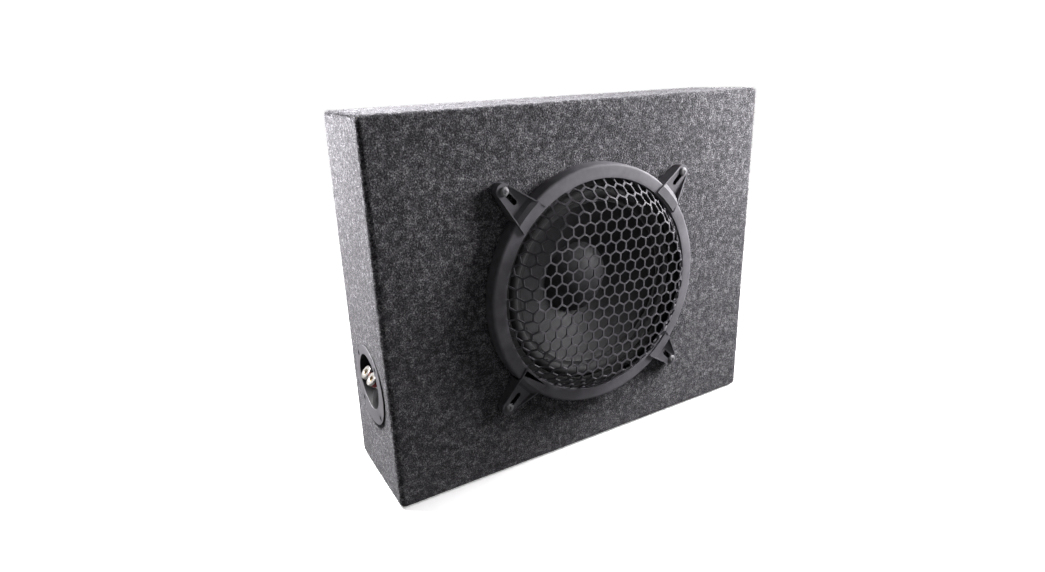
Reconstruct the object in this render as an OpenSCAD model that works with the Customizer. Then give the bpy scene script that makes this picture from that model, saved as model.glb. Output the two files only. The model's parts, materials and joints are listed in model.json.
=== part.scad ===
// Loaded car subwoofer: a wedge-shaped carpeted box with one shallow 10 inch driver.
// The origin is the centre of the base on the floor. The baffle faces -Y and +Z is up.

/* [Enclosure] */
// Outer width over the carpet
box_w = 500; // [440:1:620]
// Outer height over the carpet
box_h = 404; // [380:1:500]
// Outer depth at the base
base_d = 136; // [130:1:200]
// Outer depth at the top
top_d = 111; // [108:1:200]
// Thickness of the fibreboard panels
panel_t = 15; // [12:1:16]
// Thickness of the carpet
carpet_t = 2.5; // [1.5:0.5:3]
// Thickness of the acoustic wadding on the back panel
wadding_t = 7; // [4:1:8]

/* [Grille] */
// Height of the driver's axis above the floor
grille_z = 201.5; // [190:0.5:220]
// Clockwise turn of the whole grille, seen from the front
grille_twist = 1.5; // [0:0.5:10]
// Outer radius of the grille ring at its base
ring_r = 137.5; // [136:0.5:142]
// Radius of the ring's inner edge
ring_inner_r = 121.5; // [120:0.5:123]
// Height of the ring's inner edge above the carpet
ring_h = 15.7; // [14.5:0.1:17]
// Height of the mesh's flat middle above the carpet
mesh_h = 37.4; // [30:0.2:40]
// Radius of the mesh's flat middle
mesh_flat_r = 100.8; // [95:0.2:104]
// Thickness of the mesh sheet
mesh_t = 1.6; // [1.2:0.1:2]
// Distance between the centres of neighbouring cells
hex_pitch = 13.75; // [12:0.25:18]
// Sideways offset of the pattern of cells from the ring's centre
hex_shift_x = -5.7; // [-7:0.1:7]
// Upward offset of the pattern of cells from the ring's centre
hex_shift_z = 3.1; // [-7:0.1:7]
// Width of the metal between two cells
hex_strut = 1.8; // [1.4:0.1:3]
// Radius of the circle that the clamp screws stand on
clamp_screw_r = 167; // [160:0.5:172]
// Height of the clamps' tabs above the carpet
clamp_h = 10; // [8.5:0.5:11]

/* [Driver] */
// Radius of the basket's mounting flange
flange_r = 130; // [129:0.5:132]
// Radius of the cut-out in the baffle
cutout_r = 118; // [117.5:0.5:118.5]
// Radius of the cone's outer edge
cone_r = 99; // [98:0.5:100]
// Radius of the dust cap
cap_r = 42; // [34:1:48]
// Height of the dust cap's dome
cap_rise = 21; // [10:1:24]
// Inner radius of the voice coil former
coil_r = 25.4; // [25:0.1:25.6]
// Radius of the ferrite magnet
magnet_r = 60; // [56:1:66]

/* [Terminal cup] */
// Distance from the front of the box back to the cup's centre
cup_back = 62; // [60:1:66]
// Height of the flange's centre above the floor
cup_z = 122; // [110:1:200]
// Radius of the cup's flange
cup_flange_r = 44; // [43:0.5:46]
// Radius of the cup's opening
cup_open_r = 30.5; // [30:0.5:31]
// Depth of the cup behind the side of the box
cup_depth = 43; // [42:1:50]
// Upward tilt of the posts
post_tilt = 41; // [36:1:45]
// Distance between the two posts
post_gap = 19; // [18:0.5:20]
// Length of a post in front of the cup's sloping face
post_len = 27; // [26:0.5:28]
// Radius of a post's knob
knob_r = 7.5; // [7:0.1:7.8]

/* [Hidden] */
$fn = 96;
nudge = 1;                                   // a cutter runs this far past a face
reach = 10;                                  // half the length of a short cutter
fit_gap = 0.05;                              // gap between round faces that are glued together
front_y = -base_d / 2;
slope = atan2(base_d - top_d, box_h);
skin = carpet_t + panel_t;                   // carpet surface to the air inside
wood_w = box_w - 2 * carpet_t;

// Y of a plane parallel to the sloping back and this far in front of it, at height z.
function back_y(z, inset) = base_d / 2 - (base_d - top_d) * z / box_h - inset / cos(slope);

// A slab across the box between two heights, cut off parallel to the front and the back.
module slab(x0, x1, z0, z1, front_in, back_in) {
    translate([x0, 0, 0]) rotate([90, 0, 90]) linear_extrude(x1 - x0) polygon([
        [front_y + front_in, z0],
        [back_y(z0, back_in), z0],
        [back_y(z1, back_in), z1],
        [front_y + front_in, z1]]);
}

// A skin parallel to the back, from depth d0 to depth d1 in front of the outer back face.
module back_slab(x0, x1, z0, z1, d0, d1) {
    translate([x0, 0, 0]) rotate([90, 0, 90]) linear_extrude(x1 - x0) polygon([
        [back_y(z0, d1), z0],
        [back_y(z0, d0), z0],
        [back_y(z1, d0), z1],
        [back_y(z1, d1), z1]]);
}

// Local frame of the driver: +Z points out of the baffle and Z = 0 is the carpet's surface.
module at_driver() {
    translate([0, front_y, grille_z]) rotate([90, 0, 0]) children();
}
// The same frame with the grille's small twist.
module at_grille() {
    at_driver() rotate([0, 0, -grille_twist]) children();
}
// Local frame of the cup: +X is up, +Z points out of the left side, Z = 0 is the carpet.
module at_cup() {
    translate([-box_w / 2, front_y + cup_back, cup_z]) rotate([0, -90, 0]) children();
}
// A plain hole or pin along the local Z axis, from height z0 to z1.
module rod(r, z0, z1) {
    translate([0, 0, z0]) cylinder(r = r, h = z1 - z0);
}
module at_circle(r, count, first) {
    for (i = [0 : count - 1]) rotate([0, 0, first + i * 360 / count]) translate([r, 0, 0]) children();
}
module around(outline) {
    rotate_extrude() polygon(outline);
}
module ring(r_in, r_out, z0, z1) {
    around([[r_in, z0], [r_out, z0], [r_out, z1], [r_in, z1]]);
}

// ---- Panels
clamp_pilot_r = 2.3;
clamps = 4;
first_clamp = 45;                            // angle of the first clamp, counted from the right
driver_screw_circle = 123.5;
driver_screw_count = 8;
first_screw = 22.5;
driver_pilot_r = 1.7;
module baffle_holes() {
    at_driver() rod(cutout_r, -skin - nudge, nudge);
    at_driver() at_circle(driver_screw_circle, driver_screw_count, first_screw)
        rod(driver_pilot_r, -skin - nudge, nudge);
    at_grille() at_circle(clamp_screw_r, clamps, first_clamp) rod(clamp_pilot_r, -skin - nudge, nudge);
}
module front_panel() {
    color("#8a6a45") difference() {
        translate([-wood_w / 2, front_y + carpet_t, carpet_t]) cube([wood_w, panel_t, box_h - 2 * carpet_t]);
        baffle_holes();
    }
}
module back_panel() {
    color("#8a6a45")
        back_slab(-wood_w / 2, wood_w / 2, carpet_t, box_h - carpet_t, carpet_t, skin);
}
module top_panel() {
    color("#8a6a45") slab(-wood_w / 2, wood_w / 2, box_h - skin, box_h - carpet_t, skin, skin);
}
module bottom_panel() {
    color("#8a6a45") slab(-wood_w / 2, wood_w / 2, carpet_t, skin, skin, skin);
}
module left_panel() {
    color("#8a6a45") difference() {
        slab(-wood_w / 2, -box_w / 2 + skin, skin, box_h - skin, skin, skin);
        at_cup() translate([cup_rise, 0, 0]) rod(cup_hole_r, -skin - nudge, nudge);
        at_cup() at_circle(cup_screw_circle, cup_screw_count, first_cup_screw)
            rod(cup_pilot_r, -skin - nudge, nudge);
    }
}
module right_panel() {
    color("#8a6a45") slab(box_w / 2 - skin, wood_w / 2, skin, box_h - skin, skin, skin);
}

// ---- Carpet
module carpet_front() {
    color("#4a4a4f") difference() {
        translate([-wood_w / 2, front_y, carpet_t]) cube([wood_w, carpet_t, box_h - 2 * carpet_t]);
        at_driver() rod(flange_r + 1, -carpet_t - nudge, nudge);
        at_grille() at_circle(clamp_screw_r, clamps, first_clamp)
            rod(clamp_pilot_r, -carpet_t - nudge, nudge);
    }
}
module carpet_back() {
    color("#4a4a4f") back_slab(-wood_w / 2, wood_w / 2, carpet_t, box_h - carpet_t, 0, carpet_t);
}
module carpet_top() {
    color("#4a4a4f") slab(-box_w / 2, box_w / 2, box_h - carpet_t, box_h, 0, 0);
}
module carpet_base() {
    color("#4a4a4f") slab(-box_w / 2, box_w / 2, 0, carpet_t, 0, 0);
}
module carpet_left() {
    color("#4a4a4f") difference() {
        slab(-box_w / 2, -wood_w / 2, carpet_t, box_h - carpet_t, 0, 0);
        at_cup() rod(cup_flange_r + 0.2, -carpet_t - nudge, nudge);
    }
}
module carpet_right() {
    color("#4a4a4f") slab(wood_w / 2, box_w / 2, carpet_t, box_h - carpet_t, 0, 0);
}
wadding_margin = 8;                          // from the wadding's edges to the panels
module acoustic_wadding() {
    half_w = box_w / 2 - skin - wadding_margin;
    low_z = skin + wadding_margin;
    color("#e6e3da") back_slab(-half_w, half_w, low_z, box_h - low_z, skin, skin + wadding_t);
}

// ---- Grille
ring_skin = 2.2;
ring_crest_r = ring_r - 2.7;                 // where the flat face turns into the rounded outer wall
face_fall = 0.2 / (ring_crest_r - ring_inner_r);
// Height of the ring's face at radius r.
function face_z(r) = ring_h - (r - ring_inner_r) * face_fall;
under_r = ring_r - 4.6;                      // outer edge of the face's underside
under_fall = 0.7 / (under_r - ring_inner_r);
// Height of the face's underside at radius r.
function under_z(r) = ring_h - ring_skin - (r - ring_inner_r) * under_fall;
module grille_ring() {
    color("#2b2b2d") at_grille() around([
        [ring_r, 0],
        [ring_r - 0.4, ring_h - 4.7],
        [ring_r - 1.2, ring_h - 1.7],
        [ring_crest_r, face_z(ring_crest_r)],
        [ring_inner_r, ring_h],
        [ring_inner_r, ring_h - ring_skin],
        [under_r, under_z(under_r)],
        [ring_r - 3, 0]]);
}

mesh_rim_r = ring_inner_r + 7.5;             // the mesh's rim is glued under the ring's face
mesh_edge_r = ring_inner_r - 1;              // where the rim bends up into the shoulder
mesh_bend = 1.2;                             // the shoulder's inner face lies this far inside the outer one
hex_r = (hex_pitch - hex_strut) / sqrt(3);
tile_r = hex_pitch / sqrt(3) + 0.01;         // one cell with half the metal round it
tile_reach = mesh_flat_r - mesh_bend - tile_r;
hex_rows = ceil(mesh_edge_r / (hex_pitch * sin(60)));
// A child for each cell whose centre lies within this radius.
module at_cells(limit) {
    for (row = [-hex_rows : hex_rows])
        for (col = [-hex_rows : hex_rows])
            let (
                x = hex_shift_x + hex_pitch * (col + (row % 2 == 0 ? 0 : 0.5)),
                y = hex_shift_z + hex_pitch * sin(60) * row)
                if (norm([x, y]) < limit) translate([x, y]) rotate(30) children();
}
module hex_cells() {
    intersection() {
        circle(r = mesh_edge_r - mesh_bend);
        at_cells(mesh_edge_r) circle(r = hex_r, $fn = 6);
    }
}
// The flat middle's outline, which follows the cells that lie wholly inside the bend.
module face_tiles() {
    at_cells(tile_reach) circle(r = tile_r, $fn = 6);
}
module grille_mesh() {
    color("#3a3a3c") at_grille() translate([0, 0, mesh_h - mesh_t]) linear_extrude(mesh_t) difference() {
        face_tiles();
        hex_cells();
    }
}
module mesh_shoulder() {
    rim_z = under_z(mesh_rim_r) - fit_gap;
    edge_z = under_z(mesh_edge_r) - fit_gap;
    color("#3a3a3c") at_grille() difference() {
        around([
            [0, mesh_h],
            [mesh_flat_r, mesh_h],
            [mesh_edge_r, edge_z],
            [mesh_rim_r, rim_z],
            [mesh_rim_r, rim_z - mesh_t],
            [mesh_edge_r - mesh_bend, edge_z - mesh_t],
            [mesh_flat_r - mesh_bend, mesh_h - mesh_t],
            [0, mesh_h - mesh_t]]);
        linear_extrude(mesh_h + nudge) hex_cells();
        linear_extrude(mesh_h + nudge) offset(delta = fit_gap) face_tiles();
    }
}

clamp_t = 1.8;
clamp_tip_r = 8.3;                           // half width at the rounded tip
clamp_head = 18.5;                           // half width at the inner end of the strip
clamp_in_r = ring_inner_r + 2.5;             // inner end of the strip
clamp_gap = 0.3;
clamp_wall = 1.2;                            // thickness of the side walls
clamp_rise = 0.7;                            // the side walls stand this far above the plate
strip_top = ring_h + clamp_gap + clamp_t;
tab_r = ring_r + 4.3;                        // where the tab meets the slope
slot_in_r = 150.5;
slot_out_r = clamp_screw_r + 1;
slot_w = 5.5;
// A moulded clamp: a strip over the ring's face, a slope down its wall, a slotted tab, and side walls.
module clamp(angle) {
    lean = atan2(clamp_head - clamp_tip_r, clamp_screw_r - clamp_in_r);
    wall_len = (clamp_screw_r - clamp_in_r) / cos(lean);
    foot = clamp_head - (tab_r - clamp_in_r) * tan(lean);
    plate = [
        [clamp_in_r, ring_h + clamp_gap],
        [ring_crest_r + 0.2, ring_h + clamp_gap],
        [ring_r + 0.4, ring_h - 2.3],
        [ring_r + 2.1, clamp_h - clamp_t],
        [tab_r, clamp_h - clamp_t],
        [tab_r, clamp_h],
        [ring_r + 1.1, strip_top - 3.2],
        [ring_r - 3.5, strip_top],
        [clamp_in_r, strip_top]];
    side_wall = [
        [0, ring_h + clamp_gap],
        [0, strip_top + clamp_rise],
        [3, strip_top + clamp_rise],
        [wall_len, clamp_h + clamp_rise],
        [wall_len, 0],
        [ring_r + 1 - clamp_in_r, 0],
        [ring_r + 1 - clamp_in_r, ring_h - 3],
        [ring_crest_r + 1 - clamp_in_r, ring_h + clamp_gap]];
    color("#262628") at_grille() rotate([0, 0, angle]) {
        intersection() {
            around(plate);
            linear_extrude(mesh_h) polygon([
                [clamp_in_r - 4, -clamp_head - 4 * tan(lean)],
                [tab_r + 1, -foot],
                [tab_r + 1, foot],
                [clamp_in_r - 4, clamp_head + 4 * tan(lean)]]);
        }
        translate([0, 0, clamp_h - clamp_t]) difference() {
            linear_extrude(clamp_t) union() {
                polygon([
                    [tab_r - 1.2, -foot],
                    [clamp_screw_r, -clamp_tip_r],
                    [clamp_screw_r, clamp_tip_r],
                    [tab_r - 1.2, foot]]);
                translate([clamp_screw_r, 0]) circle(r = clamp_tip_r);
            }
            translate([slot_in_r, -slot_w / 2, -nudge])
                cube([slot_out_r - slot_in_r, slot_w, 2 * nudge + clamp_t]);
            for (r = [slot_in_r, slot_out_r])
                translate([r, 0, 0]) rod(slot_w / 2, -nudge, nudge + clamp_t);
        }
        for (side = [-1, 1])
            translate([clamp_in_r, side * clamp_head, 0]) rotate([0, 0, -side * lean])
                translate([0, side > 0 ? -clamp_wall : 0, 0]) rotate([90, 0, 0]) mirror([0, 0, 1])
                    linear_extrude(clamp_wall) polygon(side_wall);
        translate([clamp_screw_r, 0, 0]) difference() {
            rod(clamp_tip_r, 0, clamp_h - clamp_t);
            rod(clamp_tip_r - clamp_wall, -nudge, clamp_h);
            translate([-2 * clamp_tip_r, -clamp_tip_r - nudge, -nudge])
                cube([2 * clamp_tip_r, 2 * (clamp_tip_r + nudge), clamp_h + 2 * nudge]);
        }
    }
}
module clamp_upper_right() {
    clamp(45);
}
module clamp_upper_left() {
    clamp(135);
}
module clamp_lower_left() {
    clamp(225);
}
module clamp_lower_right() {
    clamp(315);
}
slot_wide = 0.9;                             // width of a screw's cross slot
module cross_slot(top, wide, deep) {
    for (a = [45, 135]) rotate([0, 0, a])
        translate([-wide / 2, -slot_wide / 2, top - deep]) cube([wide, slot_wide, deep + nudge]);
}
clamp_shank_r = 2.2;
clamp_shank_end = -14;
head_top = clamp_h + 2.8;
module clamp_screws() {
    color("#3a3a3c") at_grille() at_circle(clamp_screw_r, clamps, first_clamp) difference() {
        union() {
            rod(clamp_shank_r, clamp_shank_end, clamp_h + 1);
            around([
                [0, clamp_h],
                [5, clamp_h],
                [5, clamp_h + 0.8],
                [4.2, clamp_h + 1.9],
                [2.6, clamp_h + 2.6],
                [0, head_top]]);
        }
        cross_slot(head_top, 4.6, 1.8);
    }
}

// ---- Driver
flange_top = -0.2;
plate_t = 1.3;                               // pressed steel of the basket
step_r = 117;                                // inner edge of the flange, where it steps down
gasket_top = flange_top + 4;
lip_z = -2.7;                                // the surround's lips are glued at this height
ledge_z = -48;
bowl_z = -58.7;
gap_top = -60;                               // front face of the steel top plate
gap_t = 6;
magnet_t = 20;
yoke_t = 6;
magnet_back = gap_top - gap_t - magnet_t;
cone_t = 1.2;
cone_rim = 5;                                // flat rim that the surround is glued on
neck_z = -44;
former_t = 0.5;
cone_fall = (lip_z - 1 - neck_z) / (cone_r - cone_rim - coil_r - 1.5);
// Height of the cone's front face at radius r.
function cone_z(r) = lip_z - 1 - (cone_r - cone_rim - r) * cone_fall;
module flange_gasket() {
    color("#1b1b1b") at_driver() difference() {
        ring(cutout_r + 0.5, flange_r - 1, -carpet_t, flange_top - plate_t);
        at_circle(driver_screw_circle, driver_screw_count, first_screw) rod(driver_pilot_r, -reach, reach);
    }
}
basket_top = [
    [flange_r, flange_top],
    [step_r, flange_top],
    [step_r, lip_z],
    [112, lip_z],
    [108, -20],
    [70, ledge_z],
    [58, ledge_z],
    [56, bowl_z],
    [32, bowl_z]];
basket_under = [
    [32, bowl_z - plate_t],
    [56 + plate_t, bowl_z - plate_t],
    [58 + plate_t, ledge_z - plate_t],
    [70.4, ledge_z - plate_t],
    [108 + plate_t, -20.6],
    [113.2, lip_z - plate_t],
    [step_r + 0.9, lip_z - plate_t],
    [step_r + 0.9, flange_top - plate_t],
    [flange_r, flange_top - plate_t]];
window_count = 6;
window_in_r = 74;
window_out_r = 103;
window_half_w = 54;                          // half width of a window's wedge at the flange
module basket() {
    color("#202022") at_driver() difference() {
        around(concat(basket_top, basket_under));
        at_circle(driver_screw_circle, driver_screw_count, first_screw)
            rod(driver_pilot_r + 0.6, -reach, reach);
        at_circle(0, window_count, 0) translate([0, 0, -46.5]) linear_extrude(24) intersection() {
            difference() {
                circle(r = window_out_r);
                circle(r = window_in_r);
            }
            polygon([[0, 0], [flange_r, -window_half_w], [flange_r, window_half_w]]);
        }
    }
}
gasket_in_r = 112.5;
module front_gasket() {
    color("#161616") at_driver() difference() {
        around([
            [gasket_in_r, lip_z + 1],
            [step_r - fit_gap, lip_z + 1],
            [step_r - fit_gap, flange_top],
            [flange_r - 1.5, flange_top],
            [flange_r - 1.5, gasket_top],
            [gasket_in_r, gasket_top]]);
        at_circle(driver_screw_circle, driver_screw_count, first_screw)
            rod(driver_pilot_r + 0.6, -reach, reach);
    }
}
module driver_screws() {
    color("#1c1c1e") at_driver()
        at_circle(driver_screw_circle, driver_screw_count, first_screw) difference() {
        union() {
            rod(driver_pilot_r - 0.1, -16, gasket_top + 1);
            around([[0, gasket_top], [4, gasket_top], [3.6, gasket_top + 1.4], [0, gasket_top + 2.2]]);
        }
        cross_slot(gasket_top + 2.2, 4, 1.2);
    }
}
roll_in = cone_r;
roll_out = 112;
roll_mid = (roll_in + roll_out) / 2;
roll_r = (roll_out - roll_in) / 2;
surround_t = 1;
// A point on the half roll, at radius r from its middle and angle a.
function roll_point(r, a) = [roll_mid + r * cos(a), lip_z + r * sin(a)];
module surround() {
    color("#1a1a1b") at_driver() around(concat(
        [[cone_r - cone_rim, lip_z], [roll_in + surround_t, lip_z]],
        [for (a = [172 : -8 : 8]) roll_point(roll_r - surround_t, a)],
        [[roll_out - surround_t, lip_z], [step_r - fit_gap, lip_z], [step_r - fit_gap, lip_z + surround_t]],
        [for (a = [8 : 8 : 172]) roll_point(roll_r, a)],
        [[cone_r - cone_rim, lip_z + surround_t]]));
}
module cone() {
    color("#3b3b3f") at_driver() around([
        [cone_r, lip_z],
        [cone_r - cone_rim, lip_z],
        [cone_r - cone_rim, lip_z - 1],
        [coil_r + 1.5, neck_z],
        [coil_r + former_t, neck_z],
        [coil_r + former_t, neck_z - cone_t],
        [coil_r + 2, neck_z - cone_t],
        [cone_r - cone_rim + 1, lip_z - 1 - cone_t],
        [cone_r, lip_z - cone_t]]);
}
cap_seat = cone_z(cap_r) + 0.2;
cap_ball = (pow(cap_r, 2) + pow(cap_rise, 2)) / (2 * cap_rise);
cap_span = asin(cap_r / cap_ball);
module dust_cap() {
    centre_z = cap_seat + cap_rise - cap_ball;
    color("#47474b") at_driver() around(concat(
        [for (i = [0 : 12]) let (a = cap_span * i / 12) [cap_ball * sin(a), centre_z + cap_ball * cos(a)]],
        [for (i = [12 : -1 : 0]) let (a = cap_span * i / 12)
            [(cap_ball - 0.9) * sin(a), centre_z + (cap_ball - 0.9) * cos(a)]]));
}
module voice_coil_former() {
    color("#b98a4a") at_driver() ring(coil_r, coil_r + former_t - fit_gap, -76, neck_z + 1);
}
module voice_coil() {
    color("#b5652b") at_driver() ring(coil_r + former_t, coil_r + 1.8, -74, -58);
}
spider_t = 0.6;
spider_in = coil_r + former_t + fit_gap;
spider_out = 57;
spider_rim_r = 64;
wave_h = 1.2;
waves = 5;
// Height of the corrugated spider at radius r: flat at both ends, with waves between.
function wave_z(r) = ledge_z + wave_h * sin(360 * waves * (r - spider_in) / (spider_out - spider_in));
module spider() {
    steps = 60;
    width = spider_out - spider_in;
    color("#c9a24f") at_driver() around(concat(
        [for (i = [0 : steps]) let (r = spider_in + width * i / steps) [r, wave_z(r)]],
        [[spider_rim_r, ledge_z], [spider_rim_r, ledge_z + spider_t]],
        [for (i = [steps : -1 : 0]) let (r = spider_in + width * i / steps) [r, wave_z(r) + spider_t]]));
}
module top_plate() {
    color("#6f7072") at_driver() ring(coil_r + 2.6, 55, gap_top - gap_t, gap_top);
}
module magnet() {
    color("#2e2c2b") at_driver() ring(31, magnet_r, magnet_back, gap_top - gap_t);
}
module pole_yoke() {
    color("#6f7072") at_driver() difference() {
        union() {
            rod(coil_r - 0.6, magnet_back - yoke_t, gap_top);
            rod(magnet_r - 3, magnet_back - yoke_t, magnet_back);
        }
        rod(9, magnet_back - yoke_t - nudge, gap_top + nudge);
    }
}

// ---- Driver terminals and internal wiring
strip_in = 65.5;
strip_t = 4;
tab_z = -43;
tab_gap = 14;
tab_w = 5;
tab_t = 0.8;
tab_out = 14;                                // a tab's length behind the strip
strip_w = 24;
strip_h = 8;
// A flat tab of this length, whose outer end lies this far behind the strip.
module tab(side, out, length) {
    translate([-strip_in - strip_t - out, side * tab_gap / 2 - tab_w / 2, tab_z - tab_t / 2])
        cube([length, tab_w, tab_t]);
}
module terminal_strip() {
    color("#5a4632") at_driver() difference() {
        translate([-strip_in - strip_t, -strip_w / 2, ledge_z]) cube([strip_t, strip_w, strip_h]);
        for (side = [-1, 1]) tab(side, nudge, strip_t + 2 * nudge);
    }
}
module strip_tabs() {
    color("#c8a45a") at_driver() for (side = [-1, 1]) tab(side, tab_out, tab_out + strip_t + 1.5);
}

function unit(v) = v / norm(v);
// Catmull-Rom point number i of a route, with steps points for each stretch.
function bend(p, i, steps) =
    let (
        k = min(floor(i / steps), len(p) - 2),
        u = i / steps - k,
        a = p[max(k - 1, 0)],
        b = p[k],
        c = p[k + 1],
        d = p[min(k + 2, len(p) - 1)])
    0.5 * (2 * b + (c - a) * u + (2 * a - 5 * b + 4 * c - d) * u * u + (3 * b - a - 3 * c + d) * u * u * u);
// A round lead of radius r along a route.
module lead(route, r, steps) {
    sides = 8;
    last = steps * (len(route) - 1);
    path = [for (i = [0 : last]) bend(route, i, steps)];
    points = [for (i = [0 : last])
        let (
            along = unit(path[min(i + 1, last)] - path[max(i - 1, 0)]),
            across = unit(cross(along, [0, 1, 0.2])),
            up = cross(across, along))
        for (s = [0 : sides - 1]) path[i] + r * (cos(360 * s / sides) * across + sin(360 * s / sides) * up)];
    sides_faces = [for (i = [0 : last - 1]) for (s = [0 : sides - 1])
        let (n = (s + 1) % sides)
        [i * sides + s, i * sides + n, (i + 1) * sides + n, (i + 1) * sides + s]];
    start = [for (s = [sides - 1 : -1 : 0]) s];
    end = [for (s = [0 : sides - 1]) last * sides + s];
    polyhedron(points = points, faces = concat(sides_faces, [start], [end]));
}
module tinsel_leads() {
    color("#c9a26b") for (side = [-1, 1]) at_driver() lead([
        [-64, side * 7, -43],
        [-58, side * 7, -41],
        [-52, side * 6, -41.5],
        [-46, side * 5, -43],
        [-41, side * 5, -43.4],
        [-36, side * 5, -41.6]], 0.7, 4);
}
// The leads run from the lugs behind the cup to the driver's tabs.
red_route = [
    [-214, -15.5, 119],
    [-200, -14, 117],
    [-182, -11, 124],
    [-160, -6, 142],
    [-136, -6, 164],
    [-112, -13, 182],
    [-94, -20, 193],
    [-80, -23, 194.5]];
black_route = [
    [-214, 3.5, 119],
    [-200, 5, 118],
    [-182, 6, 128],
    [-160, 6, 149],
    [-136, 3, 174],
    [-112, -9, 194],
    [-95, -20, 206],
    [-80, -23, 208.5]];
wire_r = 1.6;
module red_wire() {
    color("#a01818") lead(red_route, wire_r, 6);
}
module black_wire() {
    color("#101010") lead(black_route, wire_r, 6);
}

// ---- Terminal cup
cup_rise = 3.5;                              // the opening sits above the flange's centre
cup_wall = 2.5;
cup_hole_r = cup_open_r + cup_wall + 0.5;
cup_screw_circle = 39;
cup_screw_count = 4;
first_cup_screw = 45;
cup_pilot_r = 1.6;
flange_out = 1;                              // the flange stands this far proud of the carpet
flange_back = -carpet_t + 0.5;
face_up = 8;                                 // centre of the posts' front faces above the opening's
// Where the middle of the sloping face lies, in the cup's frame.
slope_point = [cup_rise + face_up - post_len * sin(post_tilt), 0, flange_out - post_len * cos(post_tilt)];
// Frame of one post: Z = 0 is the cup's sloping face and +Z runs along the post.
module at_post(side) {
    at_cup() translate(slope_point + [0, side * post_gap / 2, 0]) rotate([0, post_tilt, 0]) children();
}
// Everything in front of a plane parallel to the sloping face, this far in front of it.
module before_slope(out) {
    translate(slope_point) rotate([0, post_tilt, 0]) translate([-90, -90, out]) cube([180, 180, 120]);
}
module terminal_cup() {
    color("#6b6c6e") difference() {
        at_cup() difference() {
            union() {
                rod(cup_flange_r, flange_back, flange_out);
                intersection() {
                    translate([cup_rise, 0, 0]) rod(cup_open_r + cup_wall, -cup_depth - cup_wall, flange_out);
                    before_slope(-cup_wall);
                }
            }
            intersection() {
                translate([cup_rise, 0, 0]) rod(cup_open_r, -cup_depth, flange_out + nudge);
                before_slope(0);
            }
            at_circle(cup_screw_circle, cup_screw_count, first_cup_screw) {
                rod(cup_pilot_r, -reach, reach);
                around([
                    [0, flange_out - 1.7],
                    [cup_pilot_r, flange_out - 1.7],
                    [3.3, flange_out],
                    [3.3, reach],
                    [0, reach]]);
            }
        }
        for (side = [-1, 1]) at_post(side) rod(stud_r + 0.1, -20, 20);
    }
}
module cup_gasket() {
    color("#161616") at_cup() difference() {
        rod(cup_flange_r - 0.5, -carpet_t, flange_back);
        translate([cup_rise, 0, 0]) rod(cup_hole_r, -reach, reach);
        at_circle(cup_screw_circle, cup_screw_count, first_cup_screw) rod(cup_pilot_r, -reach, reach);
    }
}
module cup_screws() {
    color("#2a2a2c") at_cup() at_circle(cup_screw_circle, cup_screw_count, first_cup_screw) difference() {
        around([
            [0, -13],
            [cup_pilot_r - 0.1, -12],
            [cup_pilot_r - 0.1, flange_out - 1.6],
            [3.15, flange_out - 0.1],
            [0, flange_out - 0.1]]);
        cross_slot(flange_out - 0.1, 3.6, 0.9);
    }
}

stud_r = 3;                                  // M6 stud
shoulder_t = 2;
socket_r = 2.05;
socket_deep = 18;
wire_hole_r = 1.2;
stud_end = post_len - 2;
washer_t = 1.2;
knob_z = shoulder_t + washer_t;
knob_bore_r = stud_r + 0.06;
band_z = post_len - 8;
band_t = 5;
module stud(side) {
    color("#cfae62") at_post(side) difference() {
        union() {
            rod(stud_r, -13, stud_end);
            rod(6.2, 0, shoulder_t);
        }
        rod(socket_r, stud_end - socket_deep, stud_end + nudge);
        translate([0, 0, shoulder_t + 2.4]) rotate([0, 90, 0]) rod(wire_hole_r, -reach, reach);
    }
}
module washer(side) {
    color("#d9c48a") at_post(side) ring(knob_bore_r, 6.4, shoulder_t, knob_z);
}
module knob(side) {
    flute_r = 0.55;
    color("#e4e0d6") at_post(side) difference() {
        around([
            [knob_bore_r, knob_z],
            [6.2, knob_z],
            [7.1, knob_z + 1],
            [7.1, band_z],
            [6.4, band_z],
            [6.4, band_z + band_t],
            [knob_r, band_z + band_t],
            [knob_r, post_len - 0.5],
            [knob_r - 0.5, post_len],
            [knob_bore_r + 0.4, post_len],
            [knob_bore_r, post_len - 0.4]]);
        at_circle(7.3, 18, 0) rod(flute_r, knob_z + 3, band_z - 1.5);
    }
}
module band(side, paint) {
    color(paint) at_post(side) ring(6.4 + fit_gap, knob_r - 0.1, band_z, band_z + band_t);
}
module red_post_stud() {
    stud(-1);
}
module red_post_washer() {
    washer(-1);
}
module red_post_knob() {
    knob(-1);
}
module red_post_band() {
    band(-1, "#b3261e");
}
module black_post_stud() {
    stud(1);
}
module black_post_washer() {
    washer(1);
}
module black_post_knob() {
    knob(1);
}
module black_post_band() {
    band(1, "#1a1a1a");
}
nut_r = 5.7;
nut_t = 3.4;
lug_t = 0.8;
module post_nuts() {
    color("#c9c9c4") for (side = [-1, 1]) at_post(side)
        for (z = [-cup_wall - nut_t, -cup_wall - 2 * nut_t - lug_t]) difference() {
            translate([0, 0, z]) cylinder(r = nut_r, h = nut_t, $fn = 6);
            rod(stud_r + 0.06, z - nudge, z + nut_t + nudge);
        }
}
module post_lugs() {
    z0 = -cup_wall - nut_t - lug_t;
    color("#d6c27a") for (side = [-1, 1]) at_post(side) difference() {
        union() {
            rod(5, z0, z0 + lug_t);
            translate([0, -2, z0]) cube([15, 4, lug_t]);
        }
        rod(stud_r + 0.06, z0 - nudge, z0 + lug_t + nudge);
    }
}

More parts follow.
